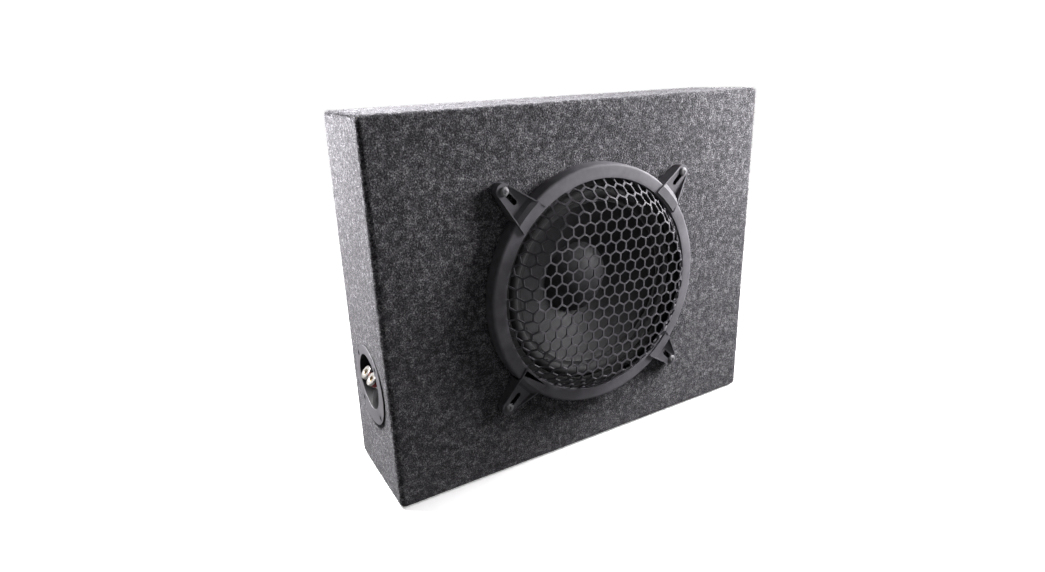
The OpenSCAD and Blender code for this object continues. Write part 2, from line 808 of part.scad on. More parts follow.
front_panel();
back_panel();
top_panel();
bottom_panel();
left_panel();
right_panel();
carpet_front();
carpet_back();
carpet_top();
carpet_base();
carpet_left();
carpet_right();
acoustic_wadding();
grille_ring();
grille_mesh();
mesh_shoulder();
clamp_upper_right();
clamp_upper_left();
clamp_lower_left();
clamp_lower_right();
clamp_screws();
flange_gasket();
basket();
front_gasket();
driver_screws();
surround();
cone();
dust_cap();
voice_coil_former();
voice_coil();
spider();
top_plate();
magnet();
pole_yoke();
terminal_strip();
strip_tabs();
tinsel_leads();
terminal_cup();
cup_gasket();
cup_screws();
red_post_stud();
red_post_washer();
red_post_knob();
red_post_band();
black_post_stud();
black_post_washer();
black_post_knob();
black_post_band();
post_nuts();
post_lugs();
red_wire();
black_wire();
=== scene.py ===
"""Looks of the carpeted car subwoofer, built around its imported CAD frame. Metres, +Z up, front at -Y."""
import json
import math

import bmesh
import bpy
import numpy as np
from mathutils import Matrix, Vector, noise


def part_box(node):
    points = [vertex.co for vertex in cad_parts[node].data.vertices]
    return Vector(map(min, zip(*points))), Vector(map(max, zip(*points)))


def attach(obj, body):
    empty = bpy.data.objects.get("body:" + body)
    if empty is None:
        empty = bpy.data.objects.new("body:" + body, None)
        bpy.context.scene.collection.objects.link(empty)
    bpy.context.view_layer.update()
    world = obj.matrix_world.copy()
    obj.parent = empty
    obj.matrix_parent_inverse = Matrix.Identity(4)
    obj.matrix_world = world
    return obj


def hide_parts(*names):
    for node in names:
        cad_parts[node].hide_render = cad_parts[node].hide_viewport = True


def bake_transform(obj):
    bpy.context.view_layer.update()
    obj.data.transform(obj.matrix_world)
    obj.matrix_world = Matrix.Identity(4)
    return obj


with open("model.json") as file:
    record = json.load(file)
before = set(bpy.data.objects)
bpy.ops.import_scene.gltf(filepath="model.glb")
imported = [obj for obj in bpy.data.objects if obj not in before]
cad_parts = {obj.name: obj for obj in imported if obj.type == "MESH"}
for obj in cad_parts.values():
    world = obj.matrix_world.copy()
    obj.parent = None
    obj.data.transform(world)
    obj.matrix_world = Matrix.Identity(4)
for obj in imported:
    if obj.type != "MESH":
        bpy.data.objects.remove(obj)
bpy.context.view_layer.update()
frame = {"nodes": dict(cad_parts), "record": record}
MM = 0.001
TAU = 2 * math.pi
SLOT = {part["node"]: part["material_slot"] for part in frame["record"]["subparts"]}


# ---------------------------------------------------------------- places, read from the frame
base_low, base_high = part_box("carpet_base")
top_low, top_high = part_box("carpet_top")
ring_low, ring_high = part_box("grille_ring")
mesh_low, mesh_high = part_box("mesh_shoulder")
flange_low, flange_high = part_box("terminal_cup")
HALF_W = base_high.x
BOX_H = top_high.z
FRONT_Y = base_low.y
BASE_BACK = base_high.y
TOP_BACK = top_high.y - (base_high.y - top_high.y) * (top_high.z - top_low.z) / BOX_H
GRILLE_TWIST = math.radians(1.5)
RING_R = (ring_high.x - ring_low.x) / 2
GRILLE_X = (ring_high.x + ring_low.x) / 2
GRILLE_Z = (ring_high.z + ring_low.z) / 2
RING_H = FRONT_Y - ring_low.y
MESH_H = FRONT_Y - mesh_low.y
MESH_RIM_R = (mesh_high.x - mesh_low.x) / 2
CUP_Y = (flange_high.y + flange_low.y) / 2
CUP_Z = (flange_high.z + flange_low.z) / 2
FLANGE_R = (flange_high.y - flange_low.y) / 2

# Local frame of the driver: +Z points out of the baffle, Z = 0 is the carpet's surface.
DRIVER = Matrix.Translation((GRILLE_X, FRONT_Y, GRILLE_Z)) @ Matrix.Rotation(math.pi / 2, 4, "X")
GRILLE = DRIVER @ Matrix.Rotation(-GRILLE_TWIST, 4, "Z")
# Local frame of the cup: +X is up and +Z points out of the left side of the box.
CUP = Matrix.Translation((-HALF_W, CUP_Y, CUP_Z)) @ Matrix.Rotation(-math.pi / 2, 4, "Y")


# ---------------------------------------------------------------- mesh helpers
def make_object(name, verts, faces, place=None, crisp=None):
    """A mesh object from vertices in metres, moved by place. Edges sharper than crisp degrees stay crisp."""
    mesh = bpy.data.meshes.new(name)
    mesh.from_pydata([tuple(v) for v in verts], [], faces)
    if place is not None:
        mesh.transform(place)
    obj = bpy.data.objects.new(name, mesh)
    bpy.context.scene.collection.objects.link(obj)
    tidy_mesh(obj)
    shade(obj, crisp)
    return obj


def tidy_mesh(obj):
    """Merges doubled points and turns every face outwards."""
    bm = bmesh.new()
    bm.from_mesh(obj.data)
    bmesh.ops.remove_doubles(bm, verts=bm.verts, dist=1e-6)
    bmesh.ops.recalc_face_normals(bm, faces=bm.faces)
    bm.to_mesh(obj.data)
    bm.free()


def shade(obj, crisp):
    """Smooth shading, with edges sharper than crisp degrees kept crisp."""
    obj.data.shade_smooth()
    if crisp is not None:
        obj.data.set_sharp_from_angle(angle=math.radians(crisp))


def apply_modifiers(obj):
    """Replaces the object's mesh with the result of its modifiers."""
    graph = bpy.context.evaluated_depsgraph_get()
    mesh = bpy.data.meshes.new_from_object(obj.evaluated_get(graph))
    obj.modifiers.clear()
    obj.data = mesh


def bevel(obj, width, angle, crisp=40):
    """Rounds every edge sharper than angle degrees and keeps the flat faces flat."""
    rounding = obj.modifiers.new("bevel", "BEVEL")
    rounding.width = width
    rounding.segments = 2
    rounding.limit_method = "ANGLE"
    rounding.angle_limit = math.radians(angle)
    apply_modifiers(obj)
    shade(obj, crisp)
    flat = obj.modifiers.new("flat", "WEIGHTED_NORMAL")
    flat.mode = "FACE_AREA"
    flat.weight = 100
    flat.keep_sharp = True
    apply_modifiers(obj)


def fillet(points, radii, steps):
    """An open outline with its corners rounded, each by its own radius. 0 leaves a corner sharp."""
    out = []
    for i, point in enumerate(points):
        here = Vector(point)
        if radii[i] <= 0:
            out.append(tuple(here))
            continue
        into, away = Vector(points[i - 1]) - here, Vector(points[i + 1]) - here
        cut = radii[i] * math.tan(math.pi / 2 - into.angle(away) / 2)
        cut = min(cut, 0.48 * into.length, 0.48 * away.length)
        start, end = here + into.normalized() * cut, here + away.normalized() * cut
        for k in range(steps + 1):
            t = k / steps
            out.append(tuple(start * (1 - t) ** 2 + here * 2 * t * (1 - t) + end * t * t))
    return out


def lathe(name, outline, place, segments, crisp):
    """Turns a closed (radius, height) outline in millimetres about the local Z axis."""
    verts, faces = [], []
    count = len(outline)
    for turn in range(segments):
        angle = TAU * turn / segments
        for radius, height in outline:
            verts.append((radius * MM * math.cos(angle), radius * MM * math.sin(angle), height * MM))
    for turn in range(segments):
        here, beyond = turn * count, (turn + 1) % segments * count
        for i in range(count):
            j = (i + 1) % count
            faces.append((here + i, beyond + i, beyond + j, here + j))
    obj = make_object(name, verts, faces, place, crisp)
    drop_slivers(obj)
    return obj


def drop_slivers(obj):
    """Removes faces of no area, which a lathe leaves on its axis, and turns every face outwards again."""
    bm = bmesh.new()
    bm.from_mesh(obj.data)
    bmesh.ops.dissolve_degenerate(bm, dist=1e-6, edges=bm.edges)
    bmesh.ops.recalc_face_normals(bm, faces=bm.faces)
    bm.to_mesh(obj.data)
    bm.free()


def finish_piece(obj, mat, body, *nodes):
    """Gives a piece its material and body, and hides the CAD nodes that it stands for."""
    obj.data.materials.clear()
    obj.data.materials.append(mat)
    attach(obj, body)
    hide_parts(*nodes)


def refine(node, name, body, width, angle=30, crisp=40):
    """A copy of a CAD node's mesh with its flat faces made whole and its edges rounded."""
    mesh = frame["nodes"][node].data.copy()
    mesh.name = name
    obj = bpy.data.objects.new(name, mesh)
    bpy.context.scene.collection.objects.link(obj)
    bm = bmesh.new()
    bm.from_mesh(mesh)
    bmesh.ops.remove_doubles(bm, verts=bm.verts, dist=4e-6)
    bmesh.ops.dissolve_limit(bm, angle_limit=math.radians(0.6), verts=bm.verts, edges=bm.edges)
    bm.to_mesh(mesh)
    bm.free()
    bevel(obj, width, angle, crisp)
    finish_piece(obj, MAT[SLOT[node]], body, node)


# ---------------------------------------------------------------- materials
class Nodes:
    """Short calls for one material's node tree."""

    def __init__(self, name):
        self.mat = bpy.data.materials.new(name)
        self.mat.use_nodes = True
        self.tree = self.mat.node_tree
        self.shader = self.tree.nodes["Principled BSDF"]
        self.coords = self.add("ShaderNodeTexCoord").outputs["Object"]

    def add(self, kind, **settings):
        node = self.tree.nodes.new(kind)
        for key, value in settings.items():
            setattr(node, key, value)
        return node

    def link(self, source, target):
        self.tree.links.new(source, target)

    def placed(self, scale, turn=(0, 0, 0)):
        """The object's coordinates, turned and scaled."""
        node = self.add("ShaderNodeMapping", vector_type="POINT")
        node.inputs["Rotation"].default_value = turn
        node.inputs["Scale"].default_value = scale
        self.link(self.coords, node.inputs["Vector"])
        return node.outputs["Vector"]

    def noise(self, scale, detail=2.0, roughness=0.5, vector=None):
        node = self.add("ShaderNodeTexNoise")
        node.inputs["Scale"].default_value = scale
        node.inputs["Detail"].default_value = detail
        node.inputs["Roughness"].default_value = roughness
        self.link(vector or self.coords, node.inputs["Vector"])
        return node.outputs["Fac"]

    def cells(self, scale):
        """The distance to the nearest of many scattered points."""
        node = self.add("ShaderNodeTexVoronoi")
        node.inputs["Scale"].default_value = scale
        self.link(self.coords, node.inputs["Vector"])
        return node.outputs["Distance"]

    def math(self, operation, a, b=0.0):
        node = self.add("ShaderNodeMath", operation=operation)
        for socket, value in zip(node.inputs, (a, b)):
            if isinstance(value, (int, float)):
                socket.default_value = value
            else:
                self.link(value, socket)
        return node.outputs[0]

    def remap(self, value, low, high, to_low=0.0, to_high=1.0):
        node = self.add("ShaderNodeMapRange")
        self.link(value, node.inputs["Value"])
        for key, number in zip(("From Min", "From Max", "To Min", "To Max"), (low, high, to_low, to_high)):
            node.inputs[key].default_value = number
        return node.outputs["Result"]

    def ramp(self, value, *stops):
        """A colour ramp. Each stop is (position, grey) or (position, (r, g, b))."""
        node = self.add("ShaderNodeValToRGB")
        elements = node.color_ramp.elements
        while len(elements) < len(stops):
            elements.new(0.5)
        for element, (position, colour) in zip(elements, stops):
            element.position = position
            element.color = (colour, colour, colour, 1) if isinstance(colour, float) else (*colour, 1)
        self.link(value, node.inputs["Fac"])
        return node.outputs["Color"]

    def mix(self, factor, a, b):
        """Colour a where factor is 0, and colour b where it is 1."""
        node = self.add("ShaderNodeMix", data_type="RGBA", blend_type="MIX")
        self.link(factor, node.inputs[0])
        for socket, value in ((node.inputs[6], a), (node.inputs[7], b)):
            if isinstance(value, tuple):
                socket.default_value = (*value, 1)
            else:
                self.link(value, socket)
        return node.outputs[2]

    def bump(self, height, distance, strength=1.0):
        node = self.add("ShaderNodeBump")
        node.inputs["Strength"].default_value = strength
        node.inputs["Distance"].default_value = distance
        self.link(height, node.inputs["Height"])
        return node.outputs["Normal"]

    def set(self, **values):
        """Sets the shader's sockets: a number or colour as it is, a socket as a link."""
        for key, value in values.items():
            socket = self.shader.inputs[key.replace("_", " ")]
            if isinstance(value, bpy.types.NodeSocket):
                self.link(value, socket)
            elif isinstance(value, tuple) and len(value) == 3:
                socket.default_value = (*value, 1)
            else:
                socket.default_value = value


def carpet_material():
    """Heather needle-punched carpet: dark, mid and light fibres lying in every direction."""
    n = Nodes("carpet")
    turns = ((0.3, 0.2, 0.4), (1.1, 0.7, 1.9), (2.0, 1.4, 0.9), (0.8, 2.3, 2.7))
    strands = [n.noise(1.0, 2.0, 0.55, n.placed((1250, 330, 720), turn)) for turn in turns]
    over, under = [n.math(pick, n.math(pick, strands[0], strands[1]), n.math(pick, strands[2], strands[3]))
                   for pick in ("MAXIMUM", "MINIMUM")]
    fleck = n.noise(560, 2.0, 0.6)
    clump = n.noise(185, 2.0, 0.55)
    wide = n.noise(11, 2.0, 0.5)
    tone = n.math("MULTIPLY", over, 0.70)
    for layer, share in ((under, 0.45), (fleck, 0.60), (clump, 0.42), (wide, 0.06)):
        tone = n.math("ADD", tone, n.math("MULTIPLY", layer, share))
    colour = n.ramp(n.remap(tone, 0.96, 1.32), (0.0, (0.012, 0.0118, 0.0135)),
                    (0.32, (0.035, 0.0342, 0.0385)), (0.58, (0.085, 0.083, 0.091)),
                    (0.82, (0.19, 0.187, 0.198)), (1.0, (0.36, 0.355, 0.37)))
    height = n.math("ADD", n.math("MULTIPLY", over, 0.6), n.math("MULTIPLY", fleck, 0.6))
    n.set(Base_Color=colour, Roughness=0.92, Normal=n.bump(height, 0.0020, 1.0))
    n.set(Sheen_Weight=0.2, Sheen_Roughness=0.4, Sheen_Tint=(0.98, 0.965, 1.0), Specular_IOR_Level=0.2)
    return n.mat


def moulded(name, colour, roughness=0.42, grain=1400, depth=0.00004, gloss=0.5):
    """Moulded plastic with a fine grain and faint flow marks."""
    n = Nodes(name)
    mottle = n.noise(45, 3.0, 0.6)
    lift = tuple(min(1.0, c * 1.25 + 0.002) for c in colour)
    fall = tuple(c * 0.82 for c in colour)
    n.set(Base_Color=n.ramp(mottle, (0.3, fall), (0.7, lift)), Specular_IOR_Level=gloss)
    fine = n.noise(grain, 2.0, 0.6)
    rough = n.math("ADD", n.remap(fine, 0.3, 0.7, roughness - 0.06, roughness + 0.06),
                   n.remap(n.noise(18, 2.0), 0.35, 0.65, -0.03, 0.03))
    n.set(Roughness=rough, Normal=n.bump(fine, depth, 0.6))
    return n.mat


def cup_material():
    """The terminal cup's plastic, with painted light and shade: a grained flange painted pale for the light
    that grazes it, and a smooth well behind it painted near black for its shade.
    """
    n = Nodes("cup_plastic")
    split = n.add("ShaderNodeSeparateXYZ")
    n.link(n.coords, split.inputs[0])
    # painted light and shade: the mask splits the flange, painted pale grey as if lit at a grazing angle,
    # from the well, painted near black as if in shade
    painted_shade_mask = n.remap(split.outputs["X"], -HALF_W - 0.9 * MM, -HALF_W - 0.1 * MM)
    mottle = n.noise(45, 3.0, 0.6)
    flange = n.ramp(mottle, (0.3, (0.200, 0.194, 0.210)), (0.7, (0.260, 0.253, 0.272)))
    inside = n.ramp(mottle, (0.3, (0.008, 0.0078, 0.0086)), (0.7, (0.011, 0.0107, 0.0118)))
    fine = n.noise(1400, 2.0, 0.6)
    n.set(Base_Color=n.mix(painted_shade_mask, flange, inside), Specular_IOR_Level=0.35)
    n.set(Roughness=n.remap(fine, 0.3, 0.7, 0.52, 0.64), Normal=n.bump(fine, 0.00004, 0.6))
    return n.mat


def painted(name, colour, roughness=0.38):
    """Powder coat over pressed steel: orange peel and tiny specks."""
    n = Nodes(name)
    peel = n.noise(900, 3.0, 0.55)
    speck = n.cells(2200)
    lift = tuple(c * 1.3 + 0.002 for c in colour)
    n.set(Base_Color=n.ramp(n.noise(60, 2.0), (0.3, colour), (0.7, lift)))
    n.set(Roughness=n.remap(speck, 0.0, 0.6, roughness - 0.05, roughness + 0.08))
    n.set(Normal=n.bump(peel, 0.00006, 0.5))
    return n.mat


def metal(name, colour, roughness=0.28, grain=(4000, 4000, 120)):
    """Plated or turned metal with fine lines along one axis and light stains."""
    n = Nodes(name)
    lines = n.noise(1.0, 2.0, 0.6, n.placed(grain))
    stain = n.noise(160, 3.0, 0.6)
    worn = tuple(c * 0.72 for c in colour)
    n.set(Base_Color=n.ramp(stain, (0.32, worn), (0.62, colour)), Metallic=1.0)
    n.set(Roughness=n.remap(lines, 0.3, 0.7, roughness - 0.07, roughness + 0.1))
    n.set(Normal=n.bump(lines, 0.00002, 0.4))
    return n.mat


def rubber(name, colour, roughness=0.62):
    """Moulded rubber or foam: dull, with a dusty bloom."""
    n = Nodes(name)
    bloom = n.noise(85, 4.0, 0.65)
    n.set(Base_Color=n.ramp(bloom, (0.35, colour), (0.75, tuple(c * 1.7 + 0.004 for c in colour))))
    n.set(Roughness=n.remap(bloom, 0.3, 0.7, roughness - 0.08, roughness + 0.12))
    n.set(Normal=n.bump(n.noise(2600, 2.0), 0.00004, 0.5), Sheen_Weight=0.08, Sheen_Roughness=0.5)
    return n.mat


def board(name):
    """Raw fibreboard: pressed wood fibres in a warm brown."""
    n = Nodes(name)
    fibre = n.noise(1.0, 3.0, 0.65, n.placed((900, 260, 620), (0.4, 0.3, 0.9)))
    colour = n.ramp(fibre, (0.3, (0.30, 0.20, 0.11)), (0.55, (0.47, 0.34, 0.20)), (0.8, (0.60, 0.46, 0.30)))
    n.set(Base_Color=colour, Roughness=0.85, Normal=n.bump(fibre, 0.0002, 0.5))
    return n.mat


def cloth(name, low, high, scale=900):
    """Woven or matted fibres: the spider's cotton and the white wadding."""
    n = Nodes(name)
    warp = n.noise(1.0, 2.0, 0.6, n.placed((scale, scale * 0.3, scale), (0.2, 0.5, 0.1)))
    weft = n.noise(1.0, 2.0, 0.6, n.placed((scale * 0.3, scale, scale), (0.6, 0.1, 1.2)))
    weave = n.math("MAXIMUM", warp, weft)
    n.set(Base_Color=n.ramp(weave, (0.4, low), (0.7, high)), Roughness=0.9)
    n.set(Normal=n.bump(weave, 0.0005, 0.6), Sheen_Weight=0.2)
    return n.mat


MAT = {
    "carpet": carpet_material(),
    "fibreboard": board("fibreboard"),
    "wadding": cloth("wadding", (0.55, 0.54, 0.50), (0.86, 0.85, 0.80), 500),
    "ring_plastic": moulded("ring_plastic", (0.142, 0.137, 0.151), 0.64, gloss=0.3),
    "mesh_paint": moulded("mesh_paint", (0.105, 0.101, 0.112), 0.58, gloss=0.3),
    "clamp_plastic": moulded("clamp_plastic", (0.128, 0.124, 0.136), 0.64, gloss=0.3),
    "screw_steel": painted("screw_steel", (0.165, 0.162, 0.170), 0.50),
    "gasket_foam": rubber("gasket_foam", (0.010, 0.010, 0.010), 0.8),
    "basket_paint": painted("basket_paint", (0.012, 0.012, 0.013)),
    "black_steel": metal("black_steel", (0.06, 0.06, 0.065), 0.4),
    "surround_rubber": rubber("surround_rubber", (0.014, 0.0135, 0.0150), 0.68),
    "cone_skin": moulded("cone_skin", (0.018, 0.0175, 0.0195), 0.58, 700, 0.00006, gloss=0.4),
    "cap_skin": moulded("cap_skin", (0.037, 0.036, 0.0395), 0.62, 900, 0.00003, gloss=0.4),
    "former": moulded("former", (0.42, 0.22, 0.08), 0.5),
    "copper": metal("copper", (0.75, 0.32, 0.16), 0.35, (120, 120, 5000)),
    "spider_cloth": cloth("spider_cloth", (0.28, 0.17, 0.05), (0.55, 0.38, 0.16)),
    "zinc_steel": metal("zinc_steel", (0.58, 0.58, 0.56), 0.34),
    "ferrite": painted("ferrite", (0.035, 0.032, 0.030), 0.6),
    "strip_board": board("strip_board"),
    "tab_brass": metal("tab_brass", (0.72, 0.55, 0.28), 0.32),
    "cup_plastic": cup_material(),
    "post_brass": metal("post_brass", (0.55, 0.40, 0.20), 0.34),
    "knob_plating": metal("knob_plating", (0.96, 0.93, 0.88), 0.42),
    "red_plastic": moulded("red_plastic", (0.42, 0.012, 0.014), 0.28),
    "black_plastic": moulded("black_plastic", (0.012, 0.012, 0.012), 0.28),
    "red_pvc": moulded("red_pvc", (0.35, 0.012, 0.012), 0.45),
    "black_pvc": moulded("black_pvc", (0.014, 0.014, 0.014), 0.45),
}
for part in frame["record"]["subparts"]:
    node = frame["nodes"][part["node"]]
    node.data.materials.clear()
    node.data.materials.append(MAT[part["material_slot"]])
    for polygon in node.data.polygons:
        polygon.material_index = 0


# ---------------------------------------------------------------- camera and light
# The camera was solved from the box's edges and the ring's ellipse in the photograph.
EYE = Vector((-0.4063, -0.6167, 0.4321))
YAW, PITCH, ROLL = math.radians(29.7484), math.radians(18.7108), math.radians(-2.3665)
LENS, SENSOR = 21.6986, 36.0
FLOOR_SIZE = 30.0
FLOOR_GLOW = 0.38                              # lifts the floor to white where the camera sees it
FLOOR_BOUNCE = 0.05                            # what the floor gives back to the object
WORLD_FILL = 0.05
WORLD_SEEN = 1.2
STUDIO_TINT = (1.0, 0.985, 1.0)
SOFT_BOXES = (  # name, place, target, watts, width and height
    ("key_right", (0.57, -0.26, 0.51), (0.10, -0.07, 0.24), 13.6, 0.34),
    ("rim_left", (-0.42, 0.20, 0.74), (-0.25, 0.0, 0.28), 20, 0.2),
    ("front_fill", (0.2, -1.75, 0.3), (0.0, -0.07, 0.2), 3.4, 1.2))


def make_camera():
    data = bpy.data.cameras.new("camera")
    data.lens = LENS
    data.sensor_width = SENSOR
    data.clip_start = 0.01
    data.clip_end = 100
    camera = bpy.data.objects.new("camera", data)
    bpy.context.scene.collection.objects.link(camera)
    aim = Matrix.Rotation(-YAW, 4, "Z") @ Matrix.Rotation(math.pi / 2 - PITCH, 4, "X")
    camera.matrix_world = Matrix.Translation(EYE) @ (aim @ Matrix.Rotation(ROLL, 4, "Z"))
    bpy.context.scene.camera = camera


def add_light(name, data, place, target):
    """Puts a lamp at place, facing target and unseen by the camera."""
    light = bpy.data.objects.new(name, data)
    light.location = place
    light.rotation_euler = (Vector(target) - Vector(place)).to_track_quat("-Z", "Y").to_euler()
    light.visible_camera = False
    bpy.context.scene.collection.objects.link(light)


def make_lights():
    """Three soft boxes, and a sun from above and behind that lights the top of the box."""
    for name, place, target, watts, size in SOFT_BOXES:
        data = bpy.data.lights.new(name, "AREA")
        data.shape = "RECTANGLE"
        data.size = data.size_y = size
        data.energy = watts
        data.color = STUDIO_TINT
        add_light(name, data, place, target)
    sun = bpy.data.lights.new("overhead", "SUN")
    sun.angle = math.radians(18)
    sun.energy = 2.4
    add_light("overhead", sun, (0, 1.6, 3), (0, 0, 0))


def make_stage():
    """A white floor that runs out of sight, and a white world behind it."""
    corners = [(x * FLOOR_SIZE, y * FLOOR_SIZE, 0) for x, y in ((-1, -1), (1, -1), (1, 1), (-1, 1))]
    floor = make_object("floor", corners, [(0, 1, 2, 3)], Matrix.Translation((0, 0, -0.6 * MM)))
    n = Nodes("floor")
    seen = n.add("ShaderNodeLightPath").outputs["Is Camera Ray"]
    paper = n.ramp(n.noise(0.7), (0.3, 0.90), (0.7, 0.92))
    n.set(Base_Color=n.mix(seen, (FLOOR_BOUNCE,) * 3, paper), Roughness=0.9)
    n.set(Specular_IOR_Level=0.1, Emission_Color=(1.0, 1.0, 1.0))
    n.set(Emission_Strength=n.math("MULTIPLY", seen, FLOOR_GLOW))
    floor.data.materials.append(n.mat)
    world = bpy.data.worlds.new("studio")
    bpy.context.scene.world = world
    world.use_nodes = True
    tree = world.node_tree
    soft, shown = tree.nodes["Background"], tree.nodes.new("ShaderNodeBackground")
    for background, strength in ((soft, WORLD_FILL), (shown, WORLD_SEEN)):
        background.inputs["Color"].default_value = (1, 1, 1, 1)
        background.inputs["Strength"].default_value = strength
    seen = tree.nodes.new("ShaderNodeLightPath")
    pick = tree.nodes.new("ShaderNodeMixShader")
    tree.links.new(seen.outputs["Is Camera Ray"], pick.inputs["Fac"])
    tree.links.new(soft.outputs[0], pick.inputs[1])
    tree.links.new(shown.outputs[0], pick.inputs[2])
    tree.links.new(pick.outputs[0], tree.nodes["World Output"].inputs["Surface"])
    bpy.context.scene.view_settings.view_transform = "Standard"


make_camera()
make_stage()
make_lights()


# ---------------------------------------------------------------- carpet
EDGE_R = 6.5 * MM                              # how round the carpet runs over the box's edges
PILE = 0.35 * MM                               # height of the pile's small lumps
WAVE = 0.25 * MM                               # height of its wide, soft waves
SINK = 0.3 * MM                                # how far the wrap lies below the CAD surface
CELL = 2.6 * MM
LEAN = (BASE_BACK - TOP_BACK) / (BASE_BACK - FRONT_Y) / BOX_H
BOX_SIZE = np.array([2 * HALF_W, BASE_BACK - FRONT_Y, BOX_H])


def spread(length):
    """Distances from 0 to length: close together over the rounded edges and evenly spaced between."""
    edge = [EDGE_R * k / 5 for k in range(5)]
    count = max(2, round((length - 2 * EDGE_R) / CELL))
    middle = [EDGE_R + (length - 2 * EDGE_R) * k / count for k in range(count + 1)]
    return edge + middle + [length - d for d in reversed(edge)]


def carpet_points():
    """The straight box as a closed grid of quads: its points and its faces."""
    xs, ys, zs = [spread(float(length)) for length in BOX_SIZE]
    index, verts, faces = {}, [], []

    def point(i, j, k):
        key = (i, j, k)
        if key not in index:
            index[key] = len(verts)
            verts.append((xs[i], ys[j], zs[k]))
        return index[key]

    ni, nj, nk = len(xs) - 1, len(ys) - 1, len(zs) - 1
    for i in range(ni):
        for j in range(nj):
            faces.append([point(i, j, 0), point(i, j + 1, 0), point(i + 1, j + 1, 0), point(i + 1, j, 0)])
            faces.append([point(i, j, nk), point(i + 1, j, nk), point(i + 1, j + 1, nk), point(i, j + 1, nk)])
    for i in range(ni):
        for k in range(nk):
            faces.append([point(i, 0, k), point(i + 1, 0, k), point(i + 1, 0, k + 1), point(i, 0, k + 1)])
            faces.append([point(i, nj, k), point(i, nj, k + 1), point(i + 1, nj, k + 1), point(i + 1, nj, k)])
    for j in range(nj):
        for k in range(nk):
            faces.append([point(0, j, k), point(0, j, k + 1), point(0, j + 1, k + 1), point(0, j + 1, k)])
            faces.append([point(ni, j, k), point(ni, j + 1, k), point(ni, j + 1, k + 1), point(ni, j, k + 1)])
    return np.array(verts), faces


def leaned(points):
    """Points of the straight box, moved so that its back leans forwards towards the top."""
    moved = points.copy()
    moved[:, 1] = FRONT_Y + (points[:, 1] - FRONT_Y) * (1 - LEAN * points[:, 2])
    return moved


def pile_height(place):
    """Height of the pile at a place on the box: two sizes of small lumps over a wide wave."""
    fine = noise.noise(place * 330) + 0.6 * noise.noise(place * 760 + Vector((9, 3, 5)))
    return PILE * fine + WAVE * noise.noise(place * 17)


def past_ring(points):
    """How far points on the front lie outside the grille ring."""
    return np.hypot(points[:, 0] - GRILLE_X, points[:, 2] - GRILLE_Z) - RING_R


def past_flange(points):
    """How far points on the left side lie outside the cup's flange."""
    return np.hypot(points[:, 1] - CUP_Y, points[:, 2] - CUP_Z) - FLANGE_R


def wrap_carpet():
    """One glued wrap of carpet with rounded edges, a soft pile, and openings under the ring and the cup."""
    flat, faces = carpet_points()
    core = np.clip(flat, EDGE_R, BOX_SIZE - EDGE_R)
    out = flat - core
    normal = out / np.maximum(np.linalg.norm(out, axis=1, keepdims=True), 1e-9)
    verts = core + normal * EDGE_R
    pile = np.array([pile_height(Vector(vert)) for vert in verts])
    verts[:, 0] -= HALF_W
    verts[:, 1] += FRONT_Y
    pile[(normal[:, 1] < -0.5) & (past_ring(verts) < 1 * MM)] = -0.5 * MM
    pile[(normal[:, 0] < -0.5) & (past_flange(verts) < 1 * MM)] = -0.7 * MM
    on_base = verts[:, 2] < EDGE_R * 0.2
    pile[on_base] = np.minimum(pile[on_base], 0) * 0.2
    verts += normal * (pile - SINK)[:, None]
    verts[:, 2] = np.maximum(verts[:, 2], 0.0)
    verts = leaned(verts)
    middle = np.array([verts[face].mean(0) for face in faces])
    facing = np.array([normal[face].mean(0) for face in faces])
    under_ring = (facing[:, 1] < -0.9) & (past_ring(middle) < -9 * MM)
    in_cup = (facing[:, 0] < -0.9) & (past_flange(middle) < -4 * MM)
    kept = [face for face, cut in zip(faces, under_ring | in_cup) if not cut]
    obj = make_object("carpet_wrap", verts, kept)
    bm = bmesh.new()
    bm.from_mesh(obj.data)
    loose = [v for v in bm.verts if not v.link_faces]
    bmesh.ops.delete(bm, geom=loose, context="VERTS")
    bm.to_mesh(obj.data)
    bm.free()
    finish_piece(obj, MAT["carpet"], "enclosure", "carpet_front", "carpet_back", "carpet_top",
                 "carpet_base", "carpet_left", "carpet_right")


def nap_spots(rng, count):
    """Random places over the sides of the straight box, with more of them along its visible edges."""
    width, depth, height = BOX_SIZE
    sides = (  # axis, end of that axis, share of the fibres
        (1, 0, width * height * 1.3), (1, 1, width * height * 0.7), (0, 0, depth * height * 1.3),
        (0, 1, depth * height), (2, 1, width * depth * 1.3))
    total = sum(side[2] for side in sides)
    spots = []
    for axis, end, share in sides:
        spot = rng.random((int(count * share / total), 3)) * BOX_SIZE
        spot[:, axis] = BOX_SIZE[axis] * end
        spots.append(spot)
    number = int(count * 0.035)
    # An edge runs along its axis, at these ends of the two other axes.
    for axis, *ends in ((2, 0, 0), (0, 0, 1), (1, 0, 1), (1, 1, 1), (0, 1, 1), (2, 1, 0)):
        spot = rng.random((number, 3)) * BOX_SIZE
        for other, end in zip([k for k in range(3) if k != axis], ends):
            spot[:, other] = BOX_SIZE[other] * end + rng.normal(0, 3 * MM, number)
        spots.append(spot)
    return np.clip(np.vstack(spots), 0, BOX_SIZE)


def nap_roots(rng, count):
    """Where fibres leave the rounded box, and the way out of it there, clear of the ring and the cup."""
    spot = nap_spots(rng, count)
    core = np.clip(spot, EDGE_R, BOX_SIZE - EDGE_R)
    out = spot - core
    length = np.linalg.norm(out, axis=1, keepdims=True)
    good = (length[:, 0] > 1e-6) & (spot[:, 2] > 2 * MM)
    normal = out[good] / length[good]
    root = core[good] + normal * (EDGE_R - 0.6 * MM) + np.array([-HALF_W, FRONT_Y, 0])
    by_ring = (normal[:, 1] < -0.5) & (past_ring(root) < 1.5 * MM)
    by_cup = (normal[:, 0] < -0.5) & (past_flange(root) < 1.5 * MM)
    clear = ~by_ring & ~by_cup
    return root[clear], normal[clear]


